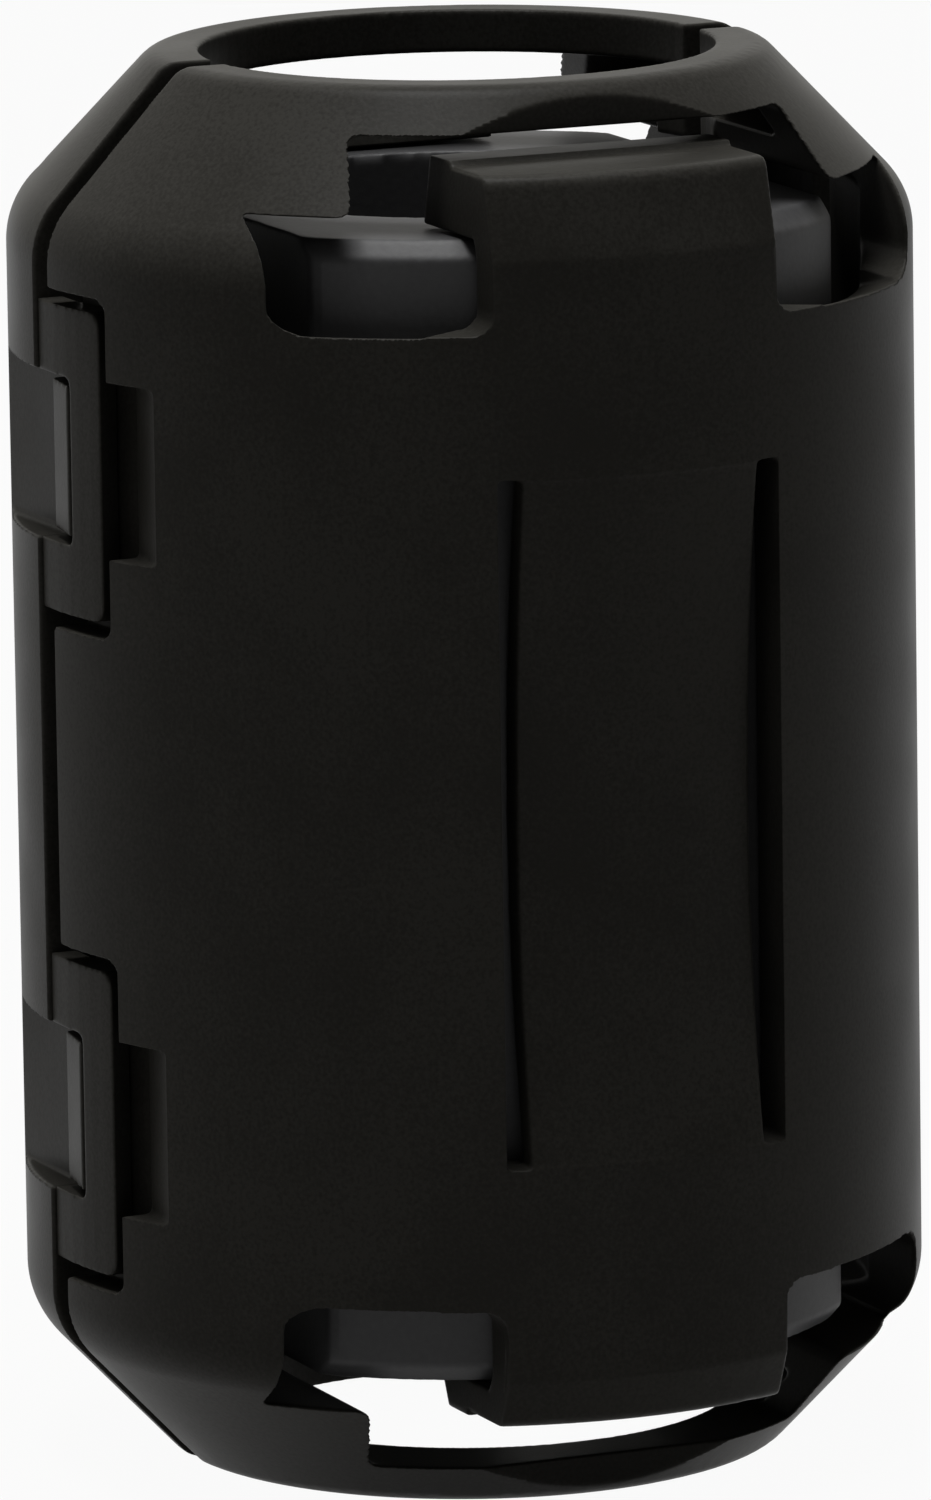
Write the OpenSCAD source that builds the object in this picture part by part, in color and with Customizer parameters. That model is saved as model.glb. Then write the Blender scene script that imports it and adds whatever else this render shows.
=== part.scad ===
// Clip on ferrite bead: a hinged housing in two halves around a split core
// Millimetres, +Z up the cable, origin at the middle of the bore
// The front half faces -Y, the latches are at -X and the hinge is at +X

/* [Housing] */
// Outside diameter of the barrel
body_d = 25.8; // [25:0.2:30]
// Length along the cable
body_len = 40.4; // [38:0.2:50]
// Height of each conical end
cone_h = 4.4; // [3.8:0.1:5]
// How far each cone narrows, on the radius
cone_run = 4.15; // [3.6:0.05:4.6]
// Radius that blends the barrel into each cone
shoulder_r = 2.5; // [1:0.1:3]
// Radius on the outer edge of each end ring
rim_round = 0.8; // [0.3:0.1:1]
// Wall thickness of the barrel
wall = 1.5; // [1.4:0.05:1.8]
// Wall thickness of the cones
cone_wall = 1; // [0.8:0.05:1.3]
// Thickness of each end ring
end_wall = 1.25; // [1:0.05:1.5]
// Diameter of the opening in each end ring
opening_d = 14.7; // [13.5:0.1:15.2]
// Distance from the end ring to the rib behind it
rib_end = 2.3; // [1.9:0.05:2.6]
// Gap between the edges of the two halves
parting_gap = 1; // [0.6:0.05:1.2]

/* [Ferrite core] */
// Bore for the cable
core_bore = 13; // [8:0.5:13]
// Distance from the end ring to the end of the core
core_end = 4; // [3.9:0.05:4.8]
// Chamfer on the outer end edges of the core
core_chamfer = 0.5; // [0.3:0.1:0.8]
// Clearance between the core and the housing
core_fit = 0.1; // [0.05:0.05:0.2]

/* [End windows and clips] */
// Width over both side windows
window_w = 20.2; // [17:0.2:20.4]
// Distance from the end ring to the far edge of the side windows
window_far = 6.4; // [6:0.1:7]
// Distance from the end ring to the step between the side and end windows
window_step = 3.3; // [3:0.1:3.5]
// Width of the end window beside the end ring
end_window_w = 13.1; // [12:0.1:13.6]
// Width of the end window at that step
step_window_w = 14.6; // [13.8:0.1:15]
// Corner radius of the side windows
window_r = 0.8; // [0.3:0.1:1]
// Corner radius of the end window beside the end ring
end_window_r = 0.4; // [0.2:0.1:0.8]
// Radius on the corner between the side and end windows
step_r = 0.5; // [0.2:0.1:0.8]
// How far the side windows lie to one side, those of the front half towards the hinge
window_shift = 0.5; // [0:0.1:0.5]
// Distance from the axis to the flat above the clip
flat_y = 9.1; // [9:0.05:9.4]
// Width of the clip tongue
clip_w = 8.6; // [7:0.1:9]
// Thickness of the clip tongue
clip_t = 1.2; // [0.9:0.1:1.4]
// How far the tip of the tongue leans towards the axis
clip_lean = 0.6; // [0.2:0.05:0.7]
// Radius at each side of the root of the tongue
root_r = 0.6; // [0.3:0.1:0.9]
// Distance from the end ring to the tip of the longer tongue
long_tip = 2.05; // [1.8:0.05:2.2]
// Distance from the end ring to the tip of its hook
long_hook = 1.9; // [1.6:0.05:2.1]
// Distance from the end ring to the tip of the shorter tongue
short_tip = 2.95; // [2.6:0.05:3.1]
// Distance from the end ring to the tip of its hook
short_hook = 2.8; // [2.5:0.05:3.1]
// Radius along the tip of each tongue
tip_r = 0.4; // [0.2:0.05:0.5]
// Distance from the axis to the nose of the hook
hook_y = 7.3; // [7:0.1:8]
// How far the inner face of the hook slants back from its nose
hook_nose = 0.5; // [0.2:0.1:0.8]
// Distance from the axis to the outer side of the lip on the hook
hook_lip = 9.2; // [8.9:0.1:10]
// Clearance between the hook and the end of the core
hook_fit = 0.1; // [0.05:0.05:0.4]

/* [Leaf spring] */
// Width of the leaf
leaf_w = 7.15; // [6:0.05:8]
// Width of the slot at each side of the leaf
leaf_slot = 0.7; // [0.5:0.05:1]
// Length of the slots
leaf_len = 19.5; // [16:0.5:22]
// Thickness of the leaf
leaf_t = 0.7; // [0.6:0.05:0.8]
// Clearance between the middle of the leaf and the core
leaf_fit = 0.05; // [0.05:0.05:0.15]

/* [Latches] */
// Distance from the end ring to the middle of its latch
latch_end = 10.8; // [10:0.1:12]
// Height of the loop
loop_h = 8.8; // [8:0.1:10]
// Height of the window in the loop
loop_window_h = 4.8; // [4:0.1:5.4]
// Distance from the parting plane to the tip of the loop
loop_reach = 3.1; // [2.8:0.05:3.4]
// Width of the bar at the tip of the loop
loop_bar = 1.6; // [1.3:0.05:1.8]
// Thickness of the loop
loop_t = 0.8; // [0.6:0.05:0.85]
// How far the loop lies below the skin
loop_sink = 0.12; // [0.05:0.01:0.2]
// Radius on the corners of the loop
loop_r = 0.5; // [0.3:0.1:1]
// Clearance around the loop in its recess
loop_gap = 0.42; // [0.3:0.02:0.6]
// Clearance under the loop
loop_floor_gap = 0.12; // [0.1:0.01:0.15]
// Clearance between the bar and the face of the catch
catch_gap = 0.08; // [0.05:0.01:0.12]
// Clearance at each end of the catch in the loop's window
catch_side_gap = 0.25; // [0.15:0.05:0.4]
// Rise of the catch's ramp
catch_rise = 0.25; // [0.15:0.05:0.5]
// How far that ramp reaches past the parting plane
catch_lead = 0.35; // [0:0.05:0.4]
// Height of the notch where a blade lifts the loop
pry_h = 5; // [4:0.1:6]
// Width of that notch past the recess
pry_w = 1.9; // [1:0.1:2.2]
// Depth of the channel in the rear half behind each latch
channel_depth = 0.95; // [0.7:0.05:1]

/* [Hinge] */
// Height of each hinge strap
strap_h = 9; // [7:0.1:10]
// Thickness of the hinge film
strap_t = 0.4; // [0.3:0.05:0.5]
// Distance of the bend's axis outside the barrel
hinge_out = 0.4; // [0.3:0.05:0.6]
// How deep each end of the film lies in the skin
strap_root = 0.8; // [0.6:0.05:1]

/* [Hidden] */
$fn = 192;
mid_z = body_len / 2;
body_r = body_d / 2;
rim_r = body_r - cone_run;
slope = cone_run / cone_h;
lean = atan(slope);
cavity_r = body_r - wall;
cone_in = cone_wall / cos(lean);
cavity_z = (cavity_r + cone_in - rim_r) / slope;
cavity_end_r = rim_r + window_step * slope - cone_in;
core_r = cavity_r - core_fit;
half_gap = parting_gap / 2;
past = 1;
cut_y = 2;
hook_z = core_end - hook_fit;
latch_z = mid_z - latch_end;
leaf_join = 0.3;
notch_rise = 0.15;
notch_lap = 0.2;
catch_under = 0.02;
catch_land = 0.15;
catch_root = 0.25;
loop_window_r = 0.3;
leaf_half = leaf_len / 2 + leaf_join;
leaf_bow = body_r - leaf_t - core_r - leaf_fit;
leaf_arc = (leaf_half * leaf_half + leaf_bow * leaf_bow) / (2 * leaf_bow);
loop_out_r = body_r - loop_sink;
loop_in_r = loop_out_r - loop_t;
floor_r = loop_in_r - loop_floor_gap;
catch_y = loop_reach - loop_bar - catch_gap;
recess_y = loop_reach + loop_gap;
hinge_x = body_r + hinge_out;
strap_r = half_gap + strap_t;

// Helpers

module both_ends() {
    children();
    translate([0, 0, body_len]) mirror([0, 0, 1]) children();
}

module both_latches() {
    for (z = [mid_z - latch_z, mid_z + latch_z]) translate([0, 0, z]) children();
}

// The bead is drawn from its lower end ring, then centred on the origin
module centred() {
    translate([0, 0, -mid_z]) children();
}

// Front half space, behind the given gap from the parting plane
module front_space(gap) {
    translate([-body_d, -body_d - gap, -past]) cube([2 * body_d, body_d, body_len + 2 * past]);
}

// Rectangle with its two upper corners rounded
module tab_outline(width, low, high, r) {
    translate([-width / 2, low]) square([width, high - low - r]);
    translate([-width / 2 + r, low]) square([width - 2 * r, high - low]);
    for (x = [-width / 2 + r, width / 2 - r]) translate([x, high - r]) circle(r = r, $fn = 48);
}

// Outline in X and Z, cut through the front wall along Y
module through_front(from_y) {
    translate([0, -from_y, 0]) rotate([90, 0, 0]) linear_extrude(body_r + past - from_y) children();
}

// Outline in Y and Z, cut through the wall at the latch side
module through_latch_side() {
    translate([-body_r - past, 0, 0]) rotate([90, 0, 90]) linear_extrude(body_r / 2) children();
}

module tube(outer, inner, low, high) {
    translate([0, 0, low]) difference() {
        cylinder(r = outer, h = high - low);
        translate([0, 0, -past]) cylinder(r = inner, h = high - low + 2 * past);
    }
}

// Housing body

module barrel() {
    shoulder = shoulder_r * tan(lean / 2);
    rim = rim_round * tan((90 - lean) / 2);
    end = [[rim_r - rim, 0], [rim_r + rim * sin(lean), rim * cos(lean)],
           [body_r - shoulder * sin(lean), cone_h - shoulder * cos(lean)], [body_r, cone_h + shoulder]];
    rotate_extrude() {
        polygon(concat([[0, 0]], end, [for (i = [3:-1:0]) [end[i][0], body_len - end[i][1]]], [[0, body_len]]));
        for (z = [cone_h + shoulder, body_len - cone_h - shoulder])
            translate([body_r - shoulder_r, z]) circle(r = shoulder_r);
        for (z = [rim_round, body_len - rim_round]) translate([rim_r - rim, z]) circle(r = rim_round);
    }
}

module cavity() {
    cone_in_r = rim_r - cone_in;
    end = [[opening_d / 2, -past], [opening_d / 2, end_wall], [cone_in_r + end_wall * slope, end_wall],
           [cone_in_r + rib_end * slope, rib_end], [opening_d / 2, rib_end], [opening_d / 2, window_step],
           [cavity_end_r, window_step], [cavity_r, cavity_z]];
    rotate_extrude() polygon(concat([[0, -past]], end,
        [for (i = [len(end) - 1:-1:0]) [end[i][0], body_len - end[i][1]]], [[0, body_len + past]]));
}

// Outline given by its right side, drawn on both sides of the Z axis
module both_sides(right) {
    polygon(concat(right, [for (i = [len(right) - 1:-1:0]) [-right[i][0], right[i][1]]]));
}

// Windows at one end, the side ones moved by the given shift, with the flat above the clip
module end_windows(shift) {
    end_x = end_window_w / 2;
    step_x = step_window_w / 2;
    flank = atan((step_x - end_x) / (window_step - end_wall));
    end_t = end_window_r * tan(45 - flank / 2);
    step_t = step_r * tan(45 - flank / 2);
    through_front(cut_y) {
        translate([shift, 0]) tab_outline(window_w, window_step, window_far, window_r);
        both_sides([[end_x - end_t, end_wall], [end_x + end_t * sin(flank), end_wall + end_t * cos(flank)],
                    [step_x, window_step], [step_x, window_step + step_r]]);
        for (x = [end_t - end_x, end_x - end_t]) translate([x, end_wall + end_window_r]) circle(r = end_window_r, $fn = 48);
        difference() {
            both_sides([[step_x - step_t * sin(flank), window_step - step_t * cos(flank)],
                        [step_x + step_t, window_step - step_r], [step_x + step_t, window_step + step_r]]);
            for (x = [-step_x - step_t, step_x + step_t]) translate([x, window_step - step_r]) circle(r = step_r, $fn = 48);
        }
    }
    translate([end_t - end_x, -body_r - past, -past])
        cube([end_window_w - 2 * end_t, body_r + past - flat_y, past + end_wall + end_window_r]);
}

// Outline of the tongue, with a fillet at each side of its root
module tongue_outline() {
    half_w = clip_w / 2;
    translate([-half_w, 0]) square([clip_w, window_far + past]);
    difference() {
        translate([-half_w - root_r, window_far - root_r]) square([clip_w + 2 * root_r, root_r + past]);
        for (x = [-half_w - root_r, half_w + root_r]) translate([x, window_far - root_r]) circle(r = root_r, $fn = 48);
    }
}

// Tongue that leans in from the end of the barrel, with a hook inside it that covers the end of the core
module end_clip(tip, hook_tip) {
    tilt = atan(clip_lean / (cone_h - tip));
    tip_out = body_r - clip_lean;
    edge = tip_r * tan(45 - tilt / 2);
    intersection() {
        rotate_extrude() {
            polygon([[tip_out - clip_t, tip], [tip_out - edge, tip], [tip_out + edge * sin(tilt), tip + edge * cos(tilt)],
                     [body_r, cone_h], [body_r, window_far + past], [body_r - clip_t, window_far + past],
                     [body_r - clip_t, cone_h]]);
            translate([tip_out - edge, tip + tip_r]) circle(r = tip_r, $fn = 64);
        }
        through_front(cut_y) tongue_outline();
    }
    intersection() {
        cylinder(r = tip_out - clip_t / 2, h = body_len / 2);
        translate([-clip_w / 2, 0, 0]) rotate([90, 0, 90]) linear_extrude(clip_w)
            polygon([[-body_r, tip], [-hook_lip, tip], [-hook_lip, hook_tip], [-hook_y - hook_nose, hook_tip],
                     [-hook_y, hook_z], [-body_r, hook_z]]);
    }
}

// Slots and leaf that presses the core towards the parting plane
module leaf_opening() {
    width = leaf_w + 2 * leaf_slot;
    translate([-width / 2, -body_r - past, mid_z - leaf_len / 2]) cube([width, body_r + past - cut_y, leaf_len]);
}

module leaf() {
    intersection() {
        translate([0, 0, mid_z]) rotate_extrude() intersection() {
            translate([body_r - leaf_bow + leaf_arc, 0]) difference() {
                circle(r = leaf_arc + leaf_t, $fn = 256);
                circle(r = leaf_arc, $fn = 256);
            }
            translate([core_r, -leaf_half]) square([body_r - core_r, 2 * leaf_half]);
        }
        translate([-leaf_w / 2, -body_d, 0]) cube([leaf_w, body_d, body_len]);
    }
}

// One half of the housing, facing -Y, before the latches and hinge
module plain_half(shift) {
    difference() {
        intersection() {
            barrel();
            front_space(half_gap);
        }
        cavity();
        both_ends() end_windows(shift);
        leaf_opening();
    }
    end_clip(short_tip, short_hook);
    translate([0, 0, body_len]) mirror([0, 0, 1]) end_clip(long_tip, long_hook);
    leaf();
}

// Pockets that the ends of the hinge films fill
module hinge_pockets() {
    both_latches() translate([body_r - strap_root, -strap_r, -strap_h / 2]) cube([strap_root + past, 2 * strap_r, strap_h]);
}

// Latch parts of the front half

module loop_recess() {
    intersection() {
        tube(body_r + past, floor_r, -loop_h, loop_h);
        through_latch_side() rotate(90) tab_outline(loop_h + 2 * loop_gap, -past, recess_y, loop_r);
    }
}

module pry_notch() {
    edge_y = recess_y + pry_w;
    edge_x = sqrt(body_r * body_r - edge_y * edge_y);
    low_r = floor_r + notch_rise;
    low_x = sqrt(low_r * low_r - recess_y * recess_y);
    translate([0, 0, -pry_h / 2]) linear_extrude(pry_h)
        polygon([[-body_r - past, notch_lap - recess_y], [-low_x, notch_lap - recess_y], [-low_x, -recess_y],
                 [-edge_x, -edge_y], [-body_r - past, -edge_y]]);
}

module catch_wedge() {
    height = loop_window_h - 2 * catch_side_gap;
    top_x = sqrt(loop_out_r * loop_out_r - catch_y * catch_y) - catch_under;
    root_x = cavity_r + catch_root;
    translate([0, 0, -height / 2]) linear_extrude(height)
        polygon([[-root_x, catch_lead], [-top_x + catch_rise, catch_lead], [-top_x, catch_land - catch_y], [-top_x, -catch_y],
                 [-root_x, -catch_y]]);
}

module front_shell() {
    color([0.1, 0.1, 0.1]) centred() {
        difference() {
            plain_half(window_shift);
            both_latches() loop_recess();
            both_latches() pry_notch();
            hinge_pockets();
        }
        both_latches() catch_wedge();
    }
}

// Rear half with its latch channels, turned end for end against the front half

module rear_shell() {
    color([0.1, 0.1, 0.1]) centred() difference() {
        translate([0, 0, body_len]) rotate([180, 0, 0]) plain_half(-window_shift);
        both_latches() translate([-body_r - past, 0, -loop_window_h / 2])
            cube([past + channel_depth, body_r, loop_window_h]);
        hinge_pockets();
    }
}

// Ferrite half cores

module core_half() {
    intersection() {
        rotate_extrude() polygon([[core_bore / 2, core_end], [core_r - core_chamfer, core_end],
            [core_r, core_end + core_chamfer], [core_r, body_len - core_end - core_chamfer],
            [core_r - core_chamfer, body_len - core_end], [core_bore / 2, body_len - core_end]]);
        front_space(0);
    }
}

module front_core() {
    color([0.2, 0.2, 0.21]) centred() core_half();
}

module rear_core() {
    color([0.2, 0.2, 0.21]) centred() rotate([0, 0, 180]) core_half();
}

// Latch loops and hinge straps

module latch_loop() {
    intersection() {
        tube(loop_out_r, loop_in_r, -loop_h, loop_h);
        through_latch_side() difference() {
            rotate(90) tab_outline(loop_h, -half_gap, loop_reach, loop_r);
            rotate(90) tab_outline(loop_window_h, -half_gap - past, loop_reach - loop_bar, loop_window_r);
        }
    }
}

module upper_latch_loop() {
    color([0.1, 0.1, 0.1]) translate([0, 0, latch_z]) latch_loop();
}

module lower_latch_loop() {
    color([0.1, 0.1, 0.1]) translate([0, 0, -latch_z]) latch_loop();
}

module hinge_strap() {
    translate([hinge_x, 0, -strap_h / 2]) linear_extrude(strap_h) {
        difference() {
            circle(r = strap_r, $fn = 64);
            circle(r = half_gap, $fn = 64);
            translate([-2 * strap_r, -strap_r]) square([2 * strap_r, 2 * strap_r]);
        }
        for (y = [-strap_r, half_gap])
            translate([-hinge_out - strap_root, y]) square([hinge_out + strap_root, strap_t]);
    }
}

module upper_hinge_strap() {
    color([0.1, 0.1, 0.1]) translate([0, 0, latch_z]) hinge_strap();
}

module lower_hinge_strap() {
    color([0.1, 0.1, 0.1]) translate([0, 0, -latch_z]) hinge_strap();
}

front_shell();
rear_shell();
front_core();
rear_core();
upper_latch_loop();
lower_latch_loop();
upper_hinge_strap();
lower_hinge_strap();
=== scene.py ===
import bpy
import bmesh
import math
import numpy as np
from mathutils import Matrix, Vector


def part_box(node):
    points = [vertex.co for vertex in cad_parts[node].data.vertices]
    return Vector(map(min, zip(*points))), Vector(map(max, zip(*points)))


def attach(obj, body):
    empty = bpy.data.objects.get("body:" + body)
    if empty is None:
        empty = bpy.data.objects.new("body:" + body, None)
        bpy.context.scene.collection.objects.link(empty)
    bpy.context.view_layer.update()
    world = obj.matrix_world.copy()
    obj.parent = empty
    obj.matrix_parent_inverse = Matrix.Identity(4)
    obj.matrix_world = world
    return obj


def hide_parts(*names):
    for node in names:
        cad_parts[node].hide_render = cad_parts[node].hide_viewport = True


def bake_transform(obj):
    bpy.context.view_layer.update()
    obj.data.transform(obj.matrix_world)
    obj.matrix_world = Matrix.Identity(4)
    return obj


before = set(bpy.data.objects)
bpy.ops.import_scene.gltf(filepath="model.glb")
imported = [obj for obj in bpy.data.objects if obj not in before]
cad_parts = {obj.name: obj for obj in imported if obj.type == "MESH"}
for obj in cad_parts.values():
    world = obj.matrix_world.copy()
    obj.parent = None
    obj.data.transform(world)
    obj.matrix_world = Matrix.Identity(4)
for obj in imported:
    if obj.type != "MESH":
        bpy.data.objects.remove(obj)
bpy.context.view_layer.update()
scene = bpy.context.scene
mm = 0.001
print("frame loaded with", len(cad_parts), "nodes")


def linear(hexColour):
    values = [int(hexColour[i:i + 2], 16) / 255 for i in (1, 3, 5)]
    return [v / 12.92 if v <= 0.04045 else ((v + 0.055) / 1.055) ** 2.4 for v in values] + [1]


# one node with its settings; an input given as a socket is linked, anything else is set
def addNode(tree, kind, inputs=None, **settings):
    node = tree.nodes.new("ShaderNode" + kind)
    for name, value in settings.items():
        setattr(node, name, value)
    for name, value in (inputs or {}).items():
        if isinstance(value, bpy.types.NodeSocket):
            tree.links.new(value, node.inputs[name])
        else:
            node.inputs[name].default_value = value
    return node


def newMaterial(name):
    material = bpy.data.materials.new(name)
    material.use_nodes = True
    material.node_tree.nodes.clear()
    return material, material.node_tree


# scale of a noise whose pattern has this size in mm
def patternScale(size):
    return 1000 / size


# camera
view = {
    "azimuth": -23.6,       # degrees, 0 looks along +Y
    "elevation": 10.7,
    "roll": -0.85,
    "distance": 390 * mm,   # long lens, a little perspective
    "tall": 43.0 * mm,      # height of the picture at the bead
    "aim": (-0.05 * mm, 0, -0.2 * mm),
    "sensor": 36,           # mm
    "clip": (0.01, 20),     # m, nearest and farthest that is seen
}


def makeCamera():
    turn, lift = math.radians(view["azimuth"]), math.radians(view["elevation"])
    away = Vector((math.sin(turn) * math.cos(lift), -math.cos(turn) * math.cos(lift), math.sin(lift)))
    data = bpy.data.cameras.new("camera")
    data.sensor_fit = "VERTICAL"
    data.sensor_height = view["sensor"]
    data.lens = view["sensor"] * view["distance"] / view["tall"]
    data.clip_start, data.clip_end = view["clip"]
    camera = bpy.data.objects.new("camera", data)
    scene.collection.objects.link(camera)
    facing = (-away).to_track_quat("-Z", "Y").to_matrix()
    roll = Matrix.Rotation(math.radians(view["roll"]), 3, "Z")
    place = Matrix.Translation(Vector(view["aim"]) + away * view["distance"])
    camera.matrix_world = place @ (facing @ roll).to_4x4()
    scene.camera = camera


makeCamera()
print("camera set")

# studio: white paper floor, a pale room that is dim on the camera's side, soft boxes
studio = {
    "floorSize": 3.0,       # m
    "floorColour": "#8f8e8c",   # what the floor throws back on the bead
    "paperColour": "#ffffff",
    "paperLift": 0.95,      # share of plain white where the paper is seen, the rest keeps the shadow
    "roomColour": "#fffdf8",
    "roomFill": 0.3,        # how much the room lights the bead
    "dimSide": (-0.40, -0.91, 0.0),
    "dimSpan": (-1.0, 0.35),    # from the bright room to the dim side, along dimSide
    "dimLevel": 0.12,
    "boxes": [
        # name, place in mm, size in mm, brightness of its face
        ("overheadBox", (-20, 15, 420), (190, 190), 18.5),
        ("frontBox", (-60, -160, 300), (240, 240), 0.3),
        ("leftBox", (-300, 170, 90), (240, 260), 0.2),
    ],
}


# 1 where something is seen, also in a reflection or through a clear piece, and 0 where it only gives light
def seenDirectly(tree):
    path = addNode(tree, "LightPath")
    either = addNode(tree, "Math", {0: path.outputs["Is Camera Ray"], 1: path.outputs["Is Glossy Ray"]},
                     operation="MAXIMUM")
    seen = addNode(tree, "Math", {0: either.outputs[0], 1: path.outputs["Is Transmission Ray"]},
                   operation="MAXIMUM")
    return seen.outputs[0]


def makeFloor():
    low = min(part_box(n)[0][2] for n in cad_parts)
    half = studio["floorSize"] / 2
    corners = [(-half, -half, low), (half, -half, low), (half, half, low), (-half, half, low)]
    mesh = bpy.data.meshes.new("floor")
    mesh.from_pydata(corners, [], [(0, 1, 2, 3)])
    floor = bpy.data.objects.new("floor", mesh)
    scene.collection.objects.link(floor)
    material, tree = newMaterial("whitePaper")
    # matte paper, lifted to white where it is seen, so only the soft shadow shows on it
    paper = addNode(tree, "BsdfDiffuse", {"Color": linear(studio["floorColour"])})
    glow = addNode(tree, "Emission", {"Color": linear(studio["paperColour"]), "Strength": 1.0})
    share = addNode(tree, "Math", {0: seenDirectly(tree), 1: studio["paperLift"]}, operation="MULTIPLY")
    mix = addNode(tree, "MixShader", {0: share.outputs[0], 1: paper.outputs[0], 2: glow.outputs[0]})
    addNode(tree, "OutputMaterial", {"Surface": mix.outputs[0]})
    mesh.materials.append(material)


def makeRoom():
    world = bpy.data.worlds.new("room")
    scene.world = world
    world.use_nodes = True
    tree = world.node_tree
    tree.nodes.clear()
    way = addNode(tree, "TexCoord").outputs["Generated"]
    ahead = addNode(tree, "VectorMath", {0: way, 1: studio["dimSide"]}, operation="DOT_PRODUCT")
    bright, dim = studio["dimSpan"]
    side = addNode(tree, "MapRange", {0: ahead.outputs["Value"], 1: bright, 2: dim,
                                      3: 1.0, 4: studio["dimLevel"]})
    level = addNode(tree, "MapRange", {0: seenDirectly(tree), 3: studio["roomFill"], 4: 1.0})
    strength = addNode(tree, "Math", {0: side.outputs[0], 1: level.outputs[0]}, operation="MULTIPLY")
    room = addNode(tree, "Background", {"Color": linear(studio["roomColour"]),
                                        "Strength": strength.outputs[0]})
    addNode(tree, "OutputWorld", {"Surface": room.outputs[0]})


def makeLamps():
    for name, place, size, brightness in studio["boxes"]:
        lamp = bpy.data.lights.new(name, "AREA")
        lamp.shape = "RECTANGLE"
        lamp.size, lamp.size_y = size[0] * mm, size[1] * mm
        lamp.energy = brightness * math.pi * lamp.size * lamp.size_y
        lampObject = bpy.data.objects.new(name, lamp)
        scene.collection.objects.link(lampObject)
        lampObject.location = Vector(place) * mm
        lampObject.rotation_euler = (-Vector(place)).to_track_quat("-Z", "Y").to_euler()


makeFloor()
makeRoom()
makeLamps()
scene.view_settings.view_transform = "Standard"
print("studio set")

# black nylon, injection moulded in a spark eroded tool: dull and very finely grained, so it shows soft
# broad light
nylon = {
    "body": "#292825",
    "cloud": "#33322f",
    "toneSpan": (0.15, 0.35),   # of clouds times grain, from the body's colour to the clouds'
    "ior": 1.53,
    "specular": 0.038,      # the grain scatters most of the gloss
    "roughness": (0.36, 0.46),
    "roughSpan": (0.3, 0.7),    # of the clouds, from the lower roughness to the higher
    "grain": 0.12,          # mm, drawn coarser than the real 0.03 so that it can be seen
    "grainDepth": 0.02,     # mm
    "grainShare": 0.2,
    "clouds": 5.0,          # mm, flow of the melt
}


def mouldedNylon():
    material, tree = newMaterial("mouldedBlackNylon")
    place = addNode(tree, "TexCoord").outputs["Object"]
    clouds = addNode(tree, "TexNoise", {"Vector": place, "Scale": patternScale(nylon["clouds"]), "Detail": 3.0})
    grain = addNode(tree, "TexNoise", {"Vector": place, "Scale": patternScale(nylon["grain"]), "Detail": 2.0})
    speck = addNode(tree, "Math", {0: clouds.outputs[0], 1: grain.outputs[0]}, operation="MULTIPLY")
    low, high = nylon["toneSpan"]
    tone = addNode(tree, "MapRange", {0: speck.outputs[0], 1: low, 2: high})
    colour = addNode(tree, "Mix", {"Factor": tone.outputs[0], "A": linear(nylon["body"]),
                                   "B": linear(nylon["cloud"])}, data_type="RGBA")
    low, high = nylon["roughSpan"]
    fine, coarse = nylon["roughness"]
    gloss = addNode(tree, "MapRange", {0: clouds.outputs[0], 1: low, 2: high, 3: fine, 4: coarse})
    bump = addNode(tree, "Bump", {"Height": grain.outputs[0], "Strength": nylon["grainShare"],
                                  "Distance": nylon["grainDepth"] * mm})
    shader = addNode(tree, "BsdfPrincipled", {
        "Base Color": colour.outputs["Result"], "Roughness": gloss.outputs[0], "Normal": bump.outputs[0],
        "IOR": nylon["ior"], "Specular IOR Level": nylon["specular"]})
    addNode(tree, "OutputMaterial", {"Surface": shader.outputs[0]})
    return material


# ferrite, pressed and sintered: dark stony grey with a fine grit, matte, with a dull sheen only along its
# edges
ferrite = {
    "body": "#323233",
    "grain": "#404041",
    "ior": 2.2,
    "specular": 0.09,
    "roughness": 0.55,
    "grit": 0.2,            # mm
    "gritDepth": 0.02,      # mm
    "gritShare": 0.3,
}


def sinteredFerrite():
    material, tree = newMaterial("sinteredFerrite")
    place = addNode(tree, "TexCoord").outputs["Object"]
    grit = addNode(tree, "TexNoise", {"Vector": place, "Scale": patternScale(ferrite["grit"]), "Detail": 3.0})
    colour = addNode(tree, "Mix", {"Factor": grit.outputs[0], "A": linear(ferrite["body"]),
                                   "B": linear(ferrite["grain"])}, data_type="RGBA")
    bump = addNode(tree, "Bump", {"Height": grit.outputs[0], "Strength": ferrite["gritShare"],
                                  "Distance": ferrite["gritDepth"] * mm})
    shader = addNode(tree, "BsdfPrincipled", {
        "Base Color": colour.outputs["Result"], "Roughness": ferrite["roughness"],
        "Normal": bump.outputs[0], "IOR": ferrite["ior"], "Specular IOR Level": ferrite["specular"]})
    addNode(tree, "OutputMaterial", {"Surface": shader.outputs[0]})
    return material


blackNylon = mouldedNylon()
darkFerrite = sinteredFerrite()
print("materials made")


# true radii in mm, for the round surfaces that the CAD mesh gives as narrow flats
rounds = {
    "half": 20.2,           # half the length of the housing
    "barrel": 12.9,
    "coneRun": 4.15,
    "coneHeight": 4.4,
    "shoulder": 2.5,
    "rimEnd": 0.7,          # the rounded rim lies within this of each end
    "core": 11.3,
    "bore": 6.5,
    "coreEnd": 4.6,         # the core's chamfers lie within this of each end
    "reach": 0.03,          # a vertex this near a true surface is set on it
    "none": -1.0,           # radius where there is no true surface
}


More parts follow.
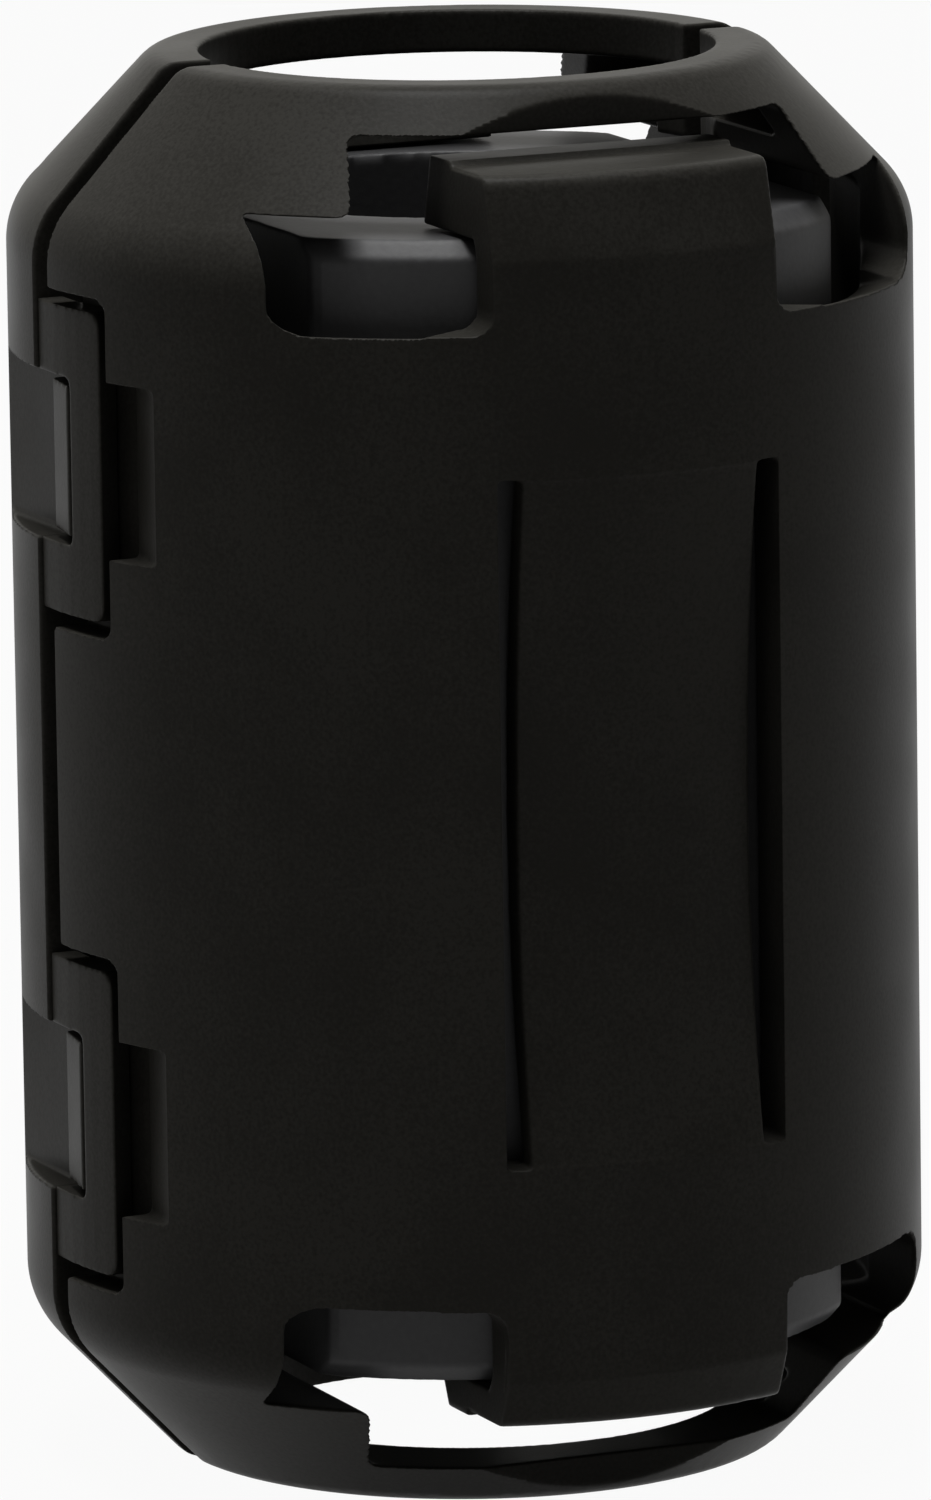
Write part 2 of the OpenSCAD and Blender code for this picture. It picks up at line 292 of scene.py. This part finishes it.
# each true surface, by the distance from the end: its radius, how it leans and which side faces out
def housingSurfaces(fromEnd):
    slope = rounds["coneRun"] / rounds["coneHeight"]
    lean = math.atan(slope)
    tangent = rounds["shoulder"] * math.tan(lean / 2)
    onCone = fromEnd < rounds["coneHeight"] - tangent * math.cos(lean)
    drop = np.clip(rounds["coneHeight"] + tangent - fromEnd, 0, rounds["shoulder"])
    cone = rounds["barrel"] - rounds["coneRun"] + fromEnd * slope
    arc = rounds["barrel"] - rounds["shoulder"] + np.sqrt(rounds["shoulder"] ** 2 - drop ** 2)
    radius = np.where(fromEnd > rounds["rimEnd"], np.where(onCone, cone, arc), rounds["none"])
    return [(radius, np.where(onCone, lean, np.arcsin(drop / rounds["shoulder"])), 1)]


def coreSurfaces(fromEnd):
    inside = fromEnd > rounds["coreEnd"]
    upright = np.zeros_like(fromEnd)
    return [(np.where(inside, rounds["core"], rounds["none"]), upright, 1),
            (np.where(inside, rounds["bore"], rounds["none"]), upright, -1)]


# sets the vertices near a true surface on it, with its normals; the rest keep those of their larger faces
def setRound(mesh, surfaces):
    points = np.empty(len(mesh.vertices) * 3, dtype=np.float32)
    mesh.vertices.foreach_get("co", points)
    points = points.reshape(-1, 3)
    corners = np.empty(len(mesh.loops) * 3, dtype=np.float32)
    mesh.corner_normals.foreach_get("vector", corners)
    owner = np.empty(len(mesh.loops), dtype=np.int32)
    mesh.loops.foreach_get("vertex_index", owner)
    normals = np.zeros_like(points)
    normals[owner] = corners.reshape(-1, 3)
    radius = np.hypot(points[:, 0], points[:, 1])
    for wanted, lean, side in surfaces(rounds["half"] - np.abs(points[:, 2])):
        near = np.abs(radius - wanted) < rounds["reach"]
        outward = points[near, :2] / radius[near][:, None]
        points[near, :2] = outward * wanted[near][:, None]
        normals[near, :2] = side * outward * np.cos(lean[near])[:, None]
        normals[near, 2] = np.sign(points[near, 2]) * np.sin(lean[near])
    mesh.vertices.foreach_set("co", points.ravel())
    mesh.normals_split_custom_set_from_vertices(normals)


# softening of a moulded or pressed piece's edges
soften = {
    "weld": 0.002,          # mm, vertices this near each other become one
    "factor": 0.5,          # strength of each turn of smoothing
    "weight": 100,          # how far the larger faces lead the normals
}


# a copy of a CAD solid, shaped and softened as its group says
def softened(nodeName, pieceName, group):
    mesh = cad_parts[nodeName].data.copy()
    mesh.transform(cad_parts[nodeName].matrix_world)
    mesh.transform(Matrix.Scale(1 / mm, 4))     # worked in mm, since the remesh has a smallest voxel
    bm = bmesh.new()
    bm.from_mesh(mesh)
    bmesh.ops.remove_doubles(bm, verts=bm.verts, dist=soften["weld"])
    bm.to_mesh(mesh)
    bm.free()
    mesh.materials.clear()
    group["shape"](mesh)
    piece = bpy.data.objects.new(pieceName, mesh)
    scene.collection.objects.link(piece)
    remesh = piece.modifiers.new("remesh", "REMESH")
    remesh.mode = "VOXEL"
    remesh.voxel_size = group["voxel"]
    remesh.use_smooth_shade = True
    smooth = piece.modifiers.new("smooth", "SMOOTH")
    smooth.factor, smooth.iterations = soften["factor"], group["turns"]
    graph = bpy.context.evaluated_depsgraph_get()
    size = len(piece.evaluated_get(graph).data.polygons) * 2    # each four-sided face is two triangles
    if size > group["limit"]:
        thin = piece.modifiers.new("thin", "DECIMATE")
        thin.ratio = group["limit"] / size
    piece.modifiers.new("weights", "WEIGHTED_NORMAL").weight = soften["weight"]
    graph = bpy.context.evaluated_depsgraph_get()
    piece.data = bpy.data.meshes.new_from_object(piece.evaluated_get(graph))
    piece.modifiers.clear()
    piece.data.name = pieceName
    setRound(piece.data, group["surfaces"])
    piece.data.transform(Matrix.Scale(mm, 4))
    print(pieceName, "softened:", size, "triangles, kept", len(piece.data.polygons))
    return piece


# side windows: their far edges slant inward, as the tool leaves them, so from above the cut is not seen
windows = {
    "far": 6.4,             # mm from the end of the housing
    "reach": 0.02,          # mm, a vertex this near belongs to the edge
    "half": 9.35,           # mm, half the straight part of the edge
    "shift": 0.5,           # mm to one side, towards the hinge on the front half
    "tongue": 4.95,         # mm, half the width of the clip with its fillets
    "slant": 0.35,          # mm along per mm in
}


def slantEdges(mesh):
    for vertex in mesh.vertices:
        x, y, z = vertex.co
        shift = windows["shift"] if y < 0 else -windows["shift"]
        onEdge = abs(rounds["half"] - abs(z) - windows["far"]) < windows["reach"]
        if onEdge and abs(x - shift) < windows["half"] and abs(x) > windows["tongue"]:
            inward = max(rounds["barrel"] - math.hypot(x, y), 0) * windows["slant"]
            vertex.co.z = math.copysign(abs(z) - inward, z)


# the two halves of the housing
shells = {
    "pieces": {"front_shell": ("frontShell", "front_half"), "rear_shell": ("rearShell", "rear_half")},
    "shape": slantEdges,
    "surfaces": housingSurfaces,
    "voxel": 0.075,         # mm
    "turns": 6,             # of smoothing
    "limit": 190000,        # triangles
}
for nodeName, (pieceName, body) in shells["pieces"].items():
    piece = softened(nodeName, pieceName, shells)
    piece.data.materials.append(blackNylon)
    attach(piece, body)
    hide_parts(nodeName)

# tips of the latch loops: cut back on the inner side, so that a blade gets under them
tips = {
    "start": 2.6,           # mm from the parting plane, where the cut begins on the rounded corners
    "end": 3.1,             # mm, the tip
    "inner": 12.4,          # mm, what lies nearer to the axis is cut back
    "back": 0.5,            # mm
}


def cutTips(mesh):
    for vertex in mesh.vertices:
        x, y, _ = vertex.co
        radius = math.hypot(x, y)
        if radius < tips["inner"] and -y > tips["start"]:
            y += tips["back"] * (-y - tips["start"]) / (tips["end"] - tips["start"])
            vertex.co.xy = -math.sqrt(radius ** 2 - y ** 2), y


# the two latch loops
loops = {
    "pieces": {"upper_latch_loop": ("upperLatchLoop", "upper_latch"),
               "lower_latch_loop": ("lowerLatchLoop", "lower_latch")},
    "shape": cutTips,
    "surfaces": housingSurfaces,
    "voxel": 0.05,          # mm
    "turns": 6,
    "limit": 60000,
}
for nodeName, (pieceName, body) in loops["pieces"].items():
    piece = softened(nodeName, pieceName, loops)
    piece.data.materials.append(blackNylon)
    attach(piece, body)
    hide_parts(nodeName)


# half cores, with flat sides that leave room for the latches and the hinge
def flattenSides(mesh):
    for vertex in mesh.vertices:
        vertex.co.x = min(max(vertex.co.x, -cores["side"]), cores["side"])


cores = {
    "pieces": {"front_core": ("frontCore", "front_half"), "rear_core": ("rearCore", "rear_half")},
    "shape": flattenSides,
    "surfaces": coreSurfaces,
    "side": 8.0,            # mm from the axis to each flat side
    "voxel": 0.12,          # mm
    "turns": 3,
    "limit": 120000,
}
for nodeName, (pieceName, body) in cores["pieces"].items():
    piece = softened(nodeName, pieceName, cores)
    piece.data.materials.append(darkFerrite)
    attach(piece, body)
    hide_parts(nodeName)

# film hinges: each a thin strap folded round the hinge line, with fine steps so that its bend turns smoothly
film = {
    "straps": {"upper_hinge_strap": "upperHingeStrap", "lower_hinge_strap": "lowerHingeStrap"},
    "gap": 1.0,             # mm between the two legs
    "thick": 0.4,           # mm
    "edge": 0.1,            # mm, radius on the long edges
    "edgeSteps": 4,
    "legSteps": 6,
    "bendSteps": 60,
}


# the way along the film: rear leg, bend, front leg, each point with the film's outward side
def filmWay(startX, axisX, middle):
    legSteps, bendSteps = film["legSteps"], film["bendSteps"]
    way = [(startX + (axisX - startX) * i / legSteps, middle, 0, 1) for i in range(legSteps)]
    for i in range(bendSteps + 1):
        turn = math.pi * (0.5 - i / bendSteps)
        outX, outY = math.cos(turn), math.sin(turn)
        way.append((axisX + middle * outX, middle * outY, outX, outY))
    return way + [(x, -y, 0, -1) for x, y, _, _ in reversed(way[:legSteps])]


# the film's section, a thin upright strip with round edges
def filmSection(halfThick, halfTall):
    edge, steps = film["edge"], film["edgeSteps"]
    section = []
    for sideways, upward, first in ((1, 1, 0), (-1, 1, 90), (-1, -1, 180), (1, -1, 270)):
        for i in range(steps + 1):
            turn = math.radians(first + 90 * i / steps)
            section.append((sideways * (halfThick - edge) + edge * math.cos(turn),
                            upward * (halfTall - edge) + edge * math.sin(turn)))
    return section


def filmHinge(nodeName, pieceName):
    low, high = (Vector(corner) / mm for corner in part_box(nodeName))
    middle = film["gap"] / 2 + film["thick"] / 2
    axisX = high.x - middle - film["thick"] / 2
    middleZ = (low.z + high.z) / 2
    section = filmSection(film["thick"] / 2, (high.z - low.z) / 2)
    bm = bmesh.new()
    rings = []
    for x, y, outX, outY in filmWay(low.x, axisX, middle):
        places = [((x + outX * a) * mm, (y + outY * a) * mm, (middleZ + b) * mm) for a, b in section]
        rings.append([bm.verts.new(place) for place in places])
    count = len(section)
    for ringA, ringB in zip(rings, rings[1:]):
        for i in range(count):
            bm.faces.new((ringA[i], ringA[(i + 1) % count], ringB[(i + 1) % count], ringB[i]))
    bm.faces.new(rings[0])
    bm.faces.new(reversed(rings[-1]))
    bmesh.ops.recalc_face_normals(bm, faces=bm.faces)
    mesh = bpy.data.meshes.new(pieceName)
    bm.to_mesh(mesh)
    bm.free()
    mesh.shade_smooth()
    mesh.materials.append(blackNylon)
    strap = bpy.data.objects.new(pieceName, mesh)
    scene.collection.objects.link(strap)
    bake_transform(strap)
    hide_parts(nodeName)


for nodeName, pieceName in film["straps"].items():
    filmHinge(nodeName, pieceName)
print("film hinges made")
